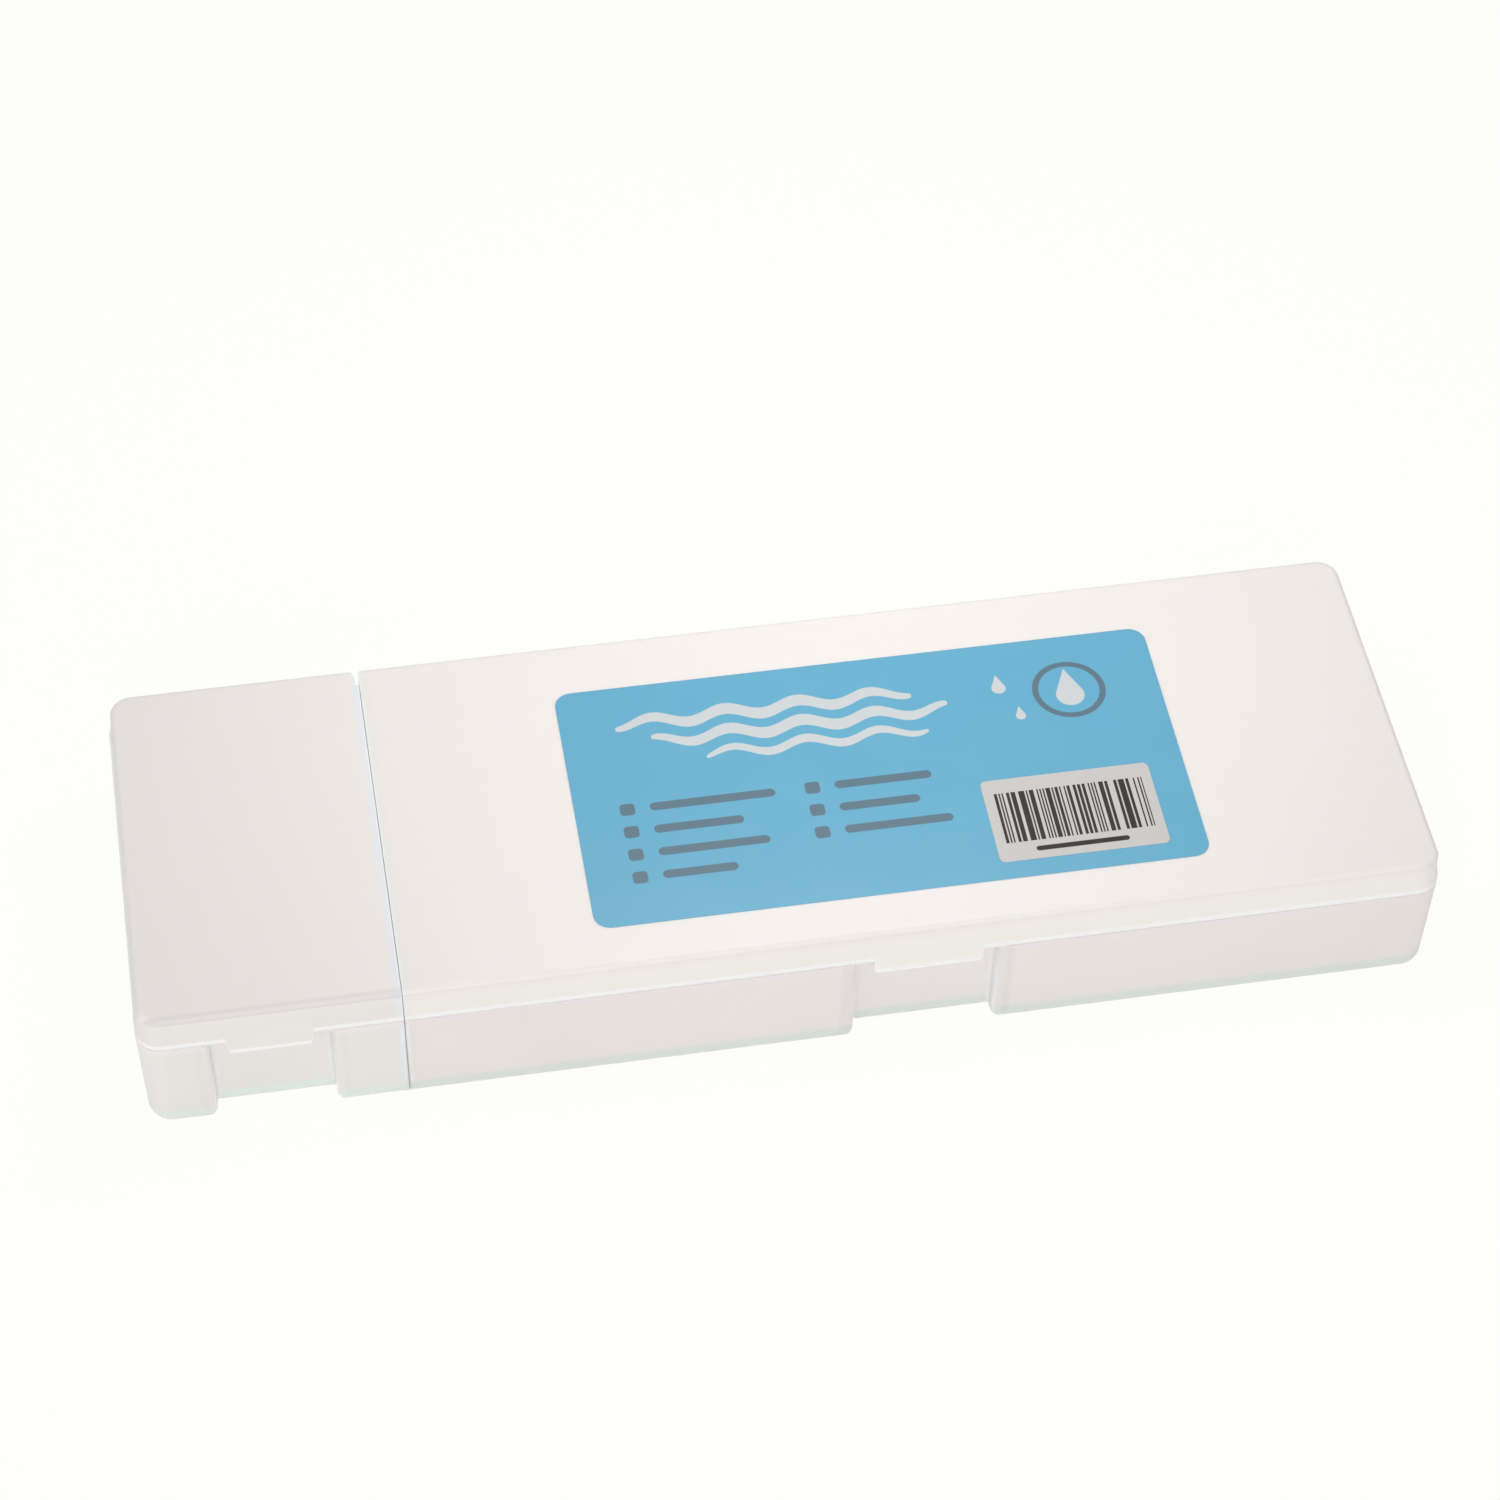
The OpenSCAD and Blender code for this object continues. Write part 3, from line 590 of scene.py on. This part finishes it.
# millimetres from the label's corner
labelPrint = {
    "film": (0.133, 0.428, 0.618),
    "filmDeep": (0.126, 0.420, 0.612),
    "pale": (0.62, 0.66, 0.67),
    "slate": (0.108, 0.185, 0.24),
    "roughness": (0.30, 0.42),
    "skin": {"Grain_Size": 0.2, "Wave_Size": 16.0, "Grain": 0.25, "Waves": 0.8, "Scuffs": 0.5},
    "bump": 0.25,
    "relief": 0.04 * mm,
    # ribbons of water: left, right, height above the label's front edge, thickness
    "ribbons": [(13, 84, 59.8, 3.5), (21, 92, 53.6, 3.5), (33, 86, 47.8, 2.6)],
    "ribbonLine": {"Swing": 1.35, "Wave": 17.5},
    # drops: x, y, radius, tip
    "drops": [(121.5, 53.0, 3.4, 8.2), (105.0, 57.5, 1.7, 4.2), (108.5, 48.2, 1.2, 3.0)],
    # ring: x, y, radius, width
    "ring": (121.5, 54.6, 8.8, 1.5),
    # bars: left, right, low, high, round
    "marks": [
        (10.5, 14.0, 32.0, 35.5, 0.9), (17.5, 47.0, 32.6, 35.0, 1.2),
        (10.5, 14.0, 25.2, 28.7, 0.9), (17.5, 38.5, 25.8, 28.2, 1.2),
        (10.5, 14.0, 18.4, 21.9, 0.9), (17.5, 43.5, 19.0, 21.4, 1.2),
        (10.5, 14.0, 11.6, 15.1, 0.9), (17.5, 35.0, 12.2, 14.6, 1.2),
        (54.0, 57.5, 32.0, 35.5, 0.9), (61.0, 84.0, 32.6, 35.0, 1.2),
        (54.0, 57.5, 25.2, 28.7, 0.9), (61.0, 80.0, 25.8, 28.2, 1.2),
        (54.0, 57.5, 18.4, 21.9, 0.9), (61.0, 86.5, 19.0, 21.4, 1.2),
    ],
}

# what the values in a row of print stand for
ribbonSockets = ("Left", "Right", "Height", "Thickness")
barSockets = ("Left", "Right", "Low", "High", "Round")
dropSockets = ("X", "Y", "Radius", "Tip")


# The mask of one row of values printed with a group.
def printMask(tree, where, group, sockets, row, **same):
    return useGroup(tree, group, Vector=where, **dict(zip(sockets, row)), **same)["Mask"]


# Print rows of values over a colour.
def layInk(tree, color, ink, where, group, sockets, rows, **same):
    total = 0.0
    for row in rows:
        total = calc(tree, "MAXIMUM", total, printMask(tree, where, group, sockets, row, **same))
    return blendColors(tree, total, color, ink)


# Blue film with ribbons of water, rows of plain bars for words, a ring and drops.
def labelMaterial():
    f = labelPrint
    mat, tree, shader = newMaterial("labelFilm", IOR=1.5)
    where = localMm(tree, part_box("label")[0])
    skin = useGroup(tree, mouldedSkin, Vector=where, **f["skin"])
    color = blendColors(tree, cloudy(tree, skin), f["filmDeep"], f["film"])
    color = layInk(tree, color, f["pale"], where, printWave, ribbonSockets, f["ribbons"], **f["ribbonLine"])
    color = layInk(tree, color, f["slate"], where, printBar, barSockets, f["marks"])
    x, y, ringRadius, ringWidth = f["ring"]
    discs = [printMask(tree, where, printBar, barSockets, (x - r, x + r, y - r, y + r, r))
             for r in (ringRadius, ringRadius - ringWidth)]
    color = blendColors(tree, calc(tree, "SUBTRACT", *discs, clamp=True), color, f["slate"])
    color = layInk(tree, color, f["pale"], where, printDrop, dropSockets, f["drops"])
    tree.links.new(color, shader.inputs["Base Color"])
    tree.links.new(skinRoughness(tree, skin, f["roughness"]), shader.inputs["Roughness"])
    addBump(tree, shader, skin["Height"], f["bump"], f["relief"])
    return mat


# millimetres from the sticker's corner
stickerPrint = {
    "paper": (0.605, 0.595, 0.570),
    "duller": 0.97,                      # factor on the paper's colour between its clouds
    "ink": (0.026, 0.018, 0.013),
    "module": 0.36,                      # width of the narrowest stripe
    "stripes": 0.66,                     # how fast the series changes from stripe to stripe
    "field": (2.4, 37.7, 5.4, 20.4, 0.05),     # left, right, low, high, round
    "fieldEdge": 0.05,
    "seed": 41.3,
    "threshold": 0.49,
    "footLine": (9.0, 31.0, 2.2, 3.6, 0.7),
    "fibre": {"Fibre_Size": 0.5, "Cloud_Size": 4.0},
    "roughness": (0.48, 0.6),
    "bump": 0.2,
    "relief": 0.02 * mm,
}


# White paper sticker with plain stripes whose widths follow a random series.
def stickerMaterial():
    f = stickerPrint
    mat, tree, shader = newMaterial("stickerPaper", IOR=1.45)
    where = localMm(tree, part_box("sticker")[0])
    fibre = useGroup(tree, paperFibre, Vector=where, **f["fibre"])
    x, _, _ = splitAxes(tree, where)
    step = calc(tree, "FLOOR", calc(tree, "DIVIDE", x, f["module"]))
    series = addNode(tree, "ShaderNodeTexNoise", noise_dimensions="1D", Scale=1.0, Detail=0.0)
    tree.links.new(calc(tree, "MULTIPLY_ADD", step, f["stripes"], f["seed"]), series.inputs["W"])
    stripe = calc(tree, "GREATER_THAN", series.outputs["Fac"], f["threshold"])
    field = printMask(tree, where, printBar, barSockets, f["field"], Edge=f["fieldEdge"])
    foot = printMask(tree, where, printBar, barSockets, f["footLine"])
    ink = calc(tree, "MAXIMUM", product(tree, stripe, field), foot)
    paper = blendColors(tree, cloudy(tree, fibre), tint(f["paper"], (f["duller"],) * 3), f["paper"])
    tree.links.new(blendColors(tree, ink, paper, f["ink"]), shader.inputs["Base Color"])
    tree.links.new(cloudy(tree, fibre, *f["roughness"]), shader.inputs["Roughness"])
    addBump(tree, shader, fibre["Height"], f["bump"], f["relief"])
    return mat


dress("label", labelMaterial())
dress("sticker", stickerMaterial())
print("label and sticker printed")


# Closed slab over a rectangle with round corners, on a grid of columns along x and points
# across. Along x the grid is fine near the ends; at each x the slab runs between y lines that
# follow the corner arcs: the arc's y is corner - sqrt(corner^2 - (corner - x)^2). The slab is
# then turned about its middle and shifted, and lift(x, y) raises both faces.
def roundedSlab(low, high, corner, grid, thickness, lift=None, shift=(0, 0), turn=0.0):
    arcPoints = 7
    columns, across = grid
    width, depth = high[0] - low[0], high[1] - low[1]
    arc = corner * (1 - np.cos(np.linspace(0, np.pi / 2, arcPoints)))
    inner = np.linspace(corner, width - corner, columns)[1:-1]
    x = np.concatenate([arc, inner, (width - arc)[::-1]])
    near = np.minimum(x, width - x)
    dip = np.where(near < corner, corner - np.sqrt(np.maximum(corner**2 - (corner - near)**2, 0)), 0)
    v = np.linspace(0, 1, across)
    gridX = np.repeat(x[:, None], across, axis=1)
    gridY = dip[:, None] + v[None, :] * (depth - 2 * dip)[:, None]
    centreX, centreY = width / 2, depth / 2
    cos, sin = math.cos(turn), math.sin(turn)
    flatX = low[0] + centreX + (gridX - centreX) * cos - (gridY - centreY) * sin + shift[0]
    flatY = low[1] + centreY + (gridX - centreX) * sin + (gridY - centreY) * cos + shift[1]
    rise = np.zeros_like(flatX) if lift is None else lift(flatX, flatY)
    under = np.stack([flatX, flatY, low[2] + rise], axis=-1).reshape(-1, 3)
    top = under + np.array([0, 0, thickness])
    count = len(under)
    index = np.arange(count).reshape(len(x), across)
    a, b, c, d = index[:-1, :-1], index[1:, :-1], index[1:, 1:], index[:-1, 1:]
    upper = np.stack([a, b, c, d], axis=-1).reshape(-1, 4) + count
    lower = np.stack([a, d, c, b], axis=-1).reshape(-1, 4)
    ring = np.concatenate([index[:, 0], index[-1, 1:], index[-2::-1, -1], index[0, -2:0:-1]])
    following = np.roll(ring, -1)
    sides = np.stack([ring, following, following + count, ring + count], axis=-1)
    return np.concatenate([under, top]), np.concatenate([upper, lower, sides])


def newPiece(name, points, faces, mat, smooth=True):
    mesh = bpy.data.meshes.new(name)
    mesh.from_pydata(points.tolist(), [], faces.tolist())
    mesh.validate()
    mesh.materials.append(mat)
    mesh.polygons.foreach_set("use_smooth", np.full(len(mesh.polygons), smooth))
    mesh.update()
    piece = bpy.data.objects.new(name, mesh)
    bpy.context.scene.collection.objects.link(piece)
    return piece


sheetShape = {
    "sheets": (("guide", 2), ("palette", 10)),      # from the bottom up
    "corner": 3.0 * mm,
    "grid": (64, 30),
    "curlReach": 46 * mm,
    "curlSqueeze": 0.75,                # on distances along x
    "curls": [(0, 0, 1.5), (1, 0, 0.7), (1, 1, 1.9), (0, 1, 0.9)],   # corner in x and y, height in mm
    "cockle": 0.32 * mm,
    "cockleLength": 58 * mm,            # of a whole wave along x
    "cockleTurn": 41 * mm,              # of one radian of the wave along y
    "cocklePhase": (0.8, 0.4),
    "share": 1.6,                       # power of a sheet's place in the stack
    "looseness": 0.35 * mm,
    "twist": 0.0016,
    "clear": 0.004 * mm,
    "seed": 7,
}


# Height of the loosest sheet: corner curls that fall off as the square of the distance left
# to their reach, plus cockles, a product of two sines raised to stay above zero.
def sheetCurl(low, high):
    f = sheetShape
    phaseX, phaseY = f["cocklePhase"]

    def rise(x, y):
        waveX = np.sin(x / f["cockleLength"] * 2 * np.pi + phaseX)
        waveY = np.cos(y / f["cockleTurn"] + phaseY)
        total = f["cockle"] * (1 + waveX * waveY) / 2
        for sideX, sideY, height in f["curls"]:
            cornerX = high[0] if sideX else low[0]
            cornerY = high[1] if sideY else low[1]
            far = np.hypot((x - cornerX) * f["curlSqueeze"], y - cornerY)
            total = total + height * mm * np.clip(1 - far / f["curlReach"], 0, None) ** 2
        return total

    return rise


paperFinish = {
    "guide": {
        "color": (0.87, 0.86, 0.84), "deep": (0.81, 0.80, 0.78), "light": (0.93, 0.92, 0.90),
        "fibre": {"Fibre_Size": 1.5, "Cloud_Size": 5.0}, "relief": 0.10 * mm,
    },
    "palette": {
        "color": (0.875, 0.825, 0.775), "deep": (0.845, 0.785, 0.73), "light": (0.91, 0.87, 0.82),
        "fibre": {"Fibre_Size": 0.7, "Cloud_Size": 2.2}, "relief": 0.03 * mm,
    },
}
paperShared = {"weight": 0.15, "depth": 0.5 * mm, "strands": 0.4, "roughness": (0.55, 0.75), "bump": 0.5}


def paperMaterial(kind):
    f = {**paperShared, **paperFinish[kind]}
    mat, tree, shader = newMaterial(
        kind + "Paper", IOR=1.4, Subsurface_Weight=f["weight"], Subsurface_Scale=f["depth"])
    fibre = useGroup(tree, paperFibre, Vector=localMm(tree), **f["fibre"])
    color = blendColors(tree, cloudy(tree, fibre), f["deep"], f["color"])
    color = blendColors(tree, product(tree, fibre["Fibre"], f["strands"]), color, f["light"])
    tree.links.new(color, shader.inputs["Base Color"])
    tree.links.new(cloudy(tree, fibre, *f["roughness"]), shader.inputs["Roughness"])
    addBump(tree, shader, fibre["Height"], f["bump"], f["relief"])
    return mat


# guide_paper_1 becomes guidePaper1.
def camelName(name):
    first, *rest = name.split("_")
    return first + "".join(word.capitalize() for word in rest)


# Each sheet takes the place of its node. A sheet's lift is the curl times its share of the
# stack, so no sheet cuts the one above.
def layPapers():
    f = sheetShape
    random = np.random.default_rng(f["seed"])
    names = [f"{kind}_paper_{i + 1}" for kind, count in f["sheets"] for i in range(count)]
    papers = {kind: paperMaterial(kind) for kind in paperFinish}
    for order, name in enumerate(names):
        low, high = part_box(name)
        share = (order / (len(names) - 1)) ** f["share"]
        curl = sheetCurl(low, high)
        dx, dy, twist = random.uniform(-1, 1, 3)
        points, faces = roundedSlab(
            low, high, f["corner"], f["grid"], high[2] - low[2] - f["clear"],
            lift=lambda x, y: share * curl(x, y), shift=(dx * f["looseness"], dy * f["looseness"]),
            turn=twist * f["twist"])
        piece = newPiece(camelName(name), points, faces, papers[name.split("_")[0]])
        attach(piece, "palette_case")
        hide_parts(name)


spongeShape = {
    "shrink": 0.9 * mm,                 # left free for the swelling
    "grid": (60, 24),
    "voxel": 4.5 * mm,
    "pressure": 4.0,
    "frames": 20,
    "cap": 1.4 * mm,
    "skin": 0.05 * mm,
    "corner": 4.0 * mm,
    "color": (0.83, 0.745, 0.52),
    # colour of the painted shade in the pores
    "deep": (0.62, 0.52, 0.32),
    "weight": 0.2,
    "scatter": 1.5 * mm,
    "bend": {"Detail": 2.0},
    "bendScale": 0.5,
    "pores": ((2.6, 0.42, 0.9), (0.9, 0.5, 0.6)),     # size, share of it that is open, strength of the painted shade inside
    "poreEdge": 0.55,
    "roughness": (0.8, 0.95),
    "bump": 0.9,
    "relief": 0.6 * mm,
}


# Cellulose foam: pores of two sizes are the cells of Voronoi patterns, with painted shade inside.
def spongeMaterial():
    f = spongeShape
    mat, tree, shader = newMaterial(
        "celluloseFoam", IOR=1.35, Subsurface_Weight=f["weight"], Subsurface_Scale=f["scatter"])
    where = localMm(tree)
    bend = addNoise(tree, where, f["bendScale"], **f["bend"])
    moved = calcVector(tree, "ADD", where, bend["Color"])
    pits = []
    for size, share, dark in f["pores"]:
        cells = addNode(tree, "ShaderNodeTexVoronoi", Scale=1 / size)
        tree.links.new(moved, cells.inputs["Vector"])
        mask = fade(tree, cells.outputs["Distance"], share * f["poreEdge"], share)
        pits.append(product(tree, mask, dark))
    pit = calc(tree, "MAXIMUM", *pits)
    tree.links.new(blendColors(tree, pit, f["color"], f["deep"]), shader.inputs["Base Color"])
    tree.links.new(spread(tree, pit, 0.0, 1.0, *f["roughness"]), shader.inputs["Roughness"])
    addBump(tree, shader, calc(tree, "SUBTRACT", 1.0, pit), f["bump"], f["relief"])
    return mat


# Where a mesh's vertices are, one row each.
def vertexRows(mesh):
    flat = np.empty(len(mesh.vertices) * 3)
    mesh.vertices.foreach_get("co", flat)
    return flat.reshape(-1, 3)


# Swell the pad with cloth pressure, cap how far a point moves, and keep it in its space.
def swellSponge(piece, low, high):
    f = spongeShape
    scene = bpy.context.scene
    voxels = piece.modifiers.new("voxels", "REMESH")
    voxels.mode = "VOXEL"
    voxels.voxel_size = f["voxel"]
    depsgraph = bpy.context.evaluated_depsgraph_get()
    remeshed = bpy.data.meshes.new_from_object(piece.evaluated_get(depsgraph))
    piece.modifiers.clear()
    piece.data = remeshed
    start = vertexRows(remeshed)
    cloth = piece.modifiers.new("swelling", "CLOTH")
    cloth.settings.use_pressure = True
    cloth.settings.uniform_pressure_force = f["pressure"]
    cloth.settings.effector_weights.gravity = 0
    for number in range(1, f["frames"] + 1):
        scene.frame_set(number)
    moved = vertexRows(piece.evaluated_get(bpy.context.evaluated_depsgraph_get()).to_mesh())
    piece.modifiers.clear()
    scene.frame_set(1)
    step = moved - start
    length = np.linalg.norm(step, axis=1, keepdims=True)
    step *= np.minimum(1, f["cap"] / np.maximum(length, 1e-9))
    final = np.clip(start + step, np.array(low) + f["skin"], np.array(high) - f["skin"])
    remeshed.vertices.foreach_set("co", final.ravel())
    remeshed.update()


def makeSponge():
    f = spongeShape
    low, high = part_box("sponge")
    inner = [np.array(low) + f["shrink"], np.array(high) - f["shrink"]]
    points, faces = roundedSlab(inner[0], inner[1], f["corner"], f["grid"], inner[1][2] - inner[0][2])
    piece = newPiece("foamSponge", points, faces, spongeMaterial())
    swellSponge(piece, low, high)
    piece.data.polygons.foreach_set("use_smooth", np.full(len(piece.data.polygons), True))
    smooth = piece.modifiers.new("smooth", "SUBSURF")
    smooth.levels = 1
    smooth.render_levels = 1
    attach(piece, "palette_case")
    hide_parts("sponge")


makeSponge()
layPapers()
print("sponge and papers laid")


stageLook = {
    "floorHalf": 4.0,
    "paper": (0.93, 0.93, 0.92),
    "darker": 0.99,                # factor on the paper's colour in its darker clouds
    "cloudScale": 3.0,
    "white": (1.0, 1.0, 0.965),
    "showThrough": 0.95,           # how much of the white backdrop the camera sees in the floor
    "worldStrength": 0.63,
}


# 1 for rays of the named kinds.
def rayMask(tree, *kinds):
    path = tree.nodes.new("ShaderNodeLightPath")
    seen = 0.0
    for kind in kinds:
        seen = calc(tree, "MAXIMUM", seen, path.outputs[f"Is {kind} Ray"])
    return seen


# Mix two shaders by a factor into a new output node.
def mixSurface(tree, factor, first, second, outputKind):
    mix = tree.nodes.new("ShaderNodeMixShader")
    for socket, value in zip(mix.inputs, (factor, first.outputs[0], second.outputs[0])):
        tree.links.new(value, socket)
    out = tree.nodes.new(outputKind)
    tree.links.new(mix.outputs[0], out.inputs["Surface"])


# Matt paper that shows the backdrop to camera, mirror and see-through rays.
def makeFloor():
    f = stageLook
    half = f["floorHalf"]
    corners = np.array([(-half, -half, 0), (half, -half, 0), (half, half, 0), (-half, half, 0)])
    mat = bpy.data.materials.new("floorPaper")
    mat.use_nodes = True
    tree = mat.node_tree
    tree.nodes.clear()
    coords = tree.nodes.new("ShaderNodeTexCoord")
    cloud = addNoise(tree, coords.outputs["Object"], f["cloudScale"], Detail=4.0)
    darker = tuple(c * f["darker"] for c in f["paper"])
    diffuse = tree.nodes.new("ShaderNodeBsdfDiffuse")
    tree.links.new(blendColors(tree, cloud["Fac"], darker, f["paper"]), diffuse.inputs["Color"])
    glow = addNode(tree, "ShaderNodeEmission", Color=(*f["white"], 1), Strength=1.0)
    seen = product(tree, rayMask(tree, "Camera", "Glossy", "Transmission"), f["showThrough"])
    mixSurface(tree, seen, diffuse, glow, "ShaderNodeOutputMaterial")
    newPiece("floor", corners, np.array([(0, 1, 2, 3)]), mat, smooth=False)


def makeWorld():
    f = stageLook
    world = bpy.data.worlds.new("studio")
    bpy.context.scene.world = world
    world.use_nodes = True
    tree = world.node_tree
    tree.nodes.clear()
    soft = addNode(tree, "ShaderNodeBackground", Strength=f["worldStrength"])
    white = addNode(tree, "ShaderNodeBackground", Color=(*f["white"], 1), Strength=1.0)
    mixSurface(tree, rayMask(tree, "Camera", "Transmission"), soft, white, "ShaderNodeOutputWorld")


softboxes = {
    "topSoftbox": {
        "place": (0.035, 0.065, 0.29), "aim": (0.03, 0.03, 0.0), "size": (0.17, 0.12), "power": 0.312,
    },
    "frontFill": {
        "place": (-0.15, -1.35, 0.60), "aim": (0, 0, 0.02), "size": (1.4, 0.8), "power": 8.45,
    },
    "leftFill": {
        "place": (-1.3, -0.15, 0.55), "aim": (0, 0, 0.02), "size": (0.9, 0.9), "power": 2.0,
    },
}


def makeSoftboxes():
    for name, f in softboxes.items():
        light = bpy.data.lights.new(name, "AREA")
        light.shape = "RECTANGLE"
        light.size, light.size_y = f["size"]
        light.energy = f["power"]
        lamp = bpy.data.objects.new(name, light)
        lamp.location = f["place"]
        lamp.rotation_euler = (Vector(f["aim"]) - Vector(f["place"])).to_track_quat("-Z", "Y").to_euler()
        bpy.context.scene.collection.objects.link(lamp)


cameraSpot = {
    "place": (-0.11389336, -0.59705977, 0.74947911),
    "turn": (40.8436, -0.8079, -9.5350),        # degrees
    "lens": 96.0846,
    "sensor": 36,
    "nearest": 0.01,
}


def makeCamera():
    f = cameraSpot
    data = bpy.data.cameras.new("camera")
    data.lens = f["lens"]
    data.sensor_width = f["sensor"]
    data.clip_start = f["nearest"]
    camera = bpy.data.objects.new("camera", data)
    camera.location = f["place"]
    camera.rotation_euler = [math.radians(angle) for angle in f["turn"]]
    bpy.context.scene.collection.objects.link(camera)
    bpy.context.scene.camera = camera


makeFloor()
makeWorld()
makeSoftboxes()
makeCamera()
bpy.context.scene.view_settings.view_transform = "Standard"
print("stage, lights and camera set")
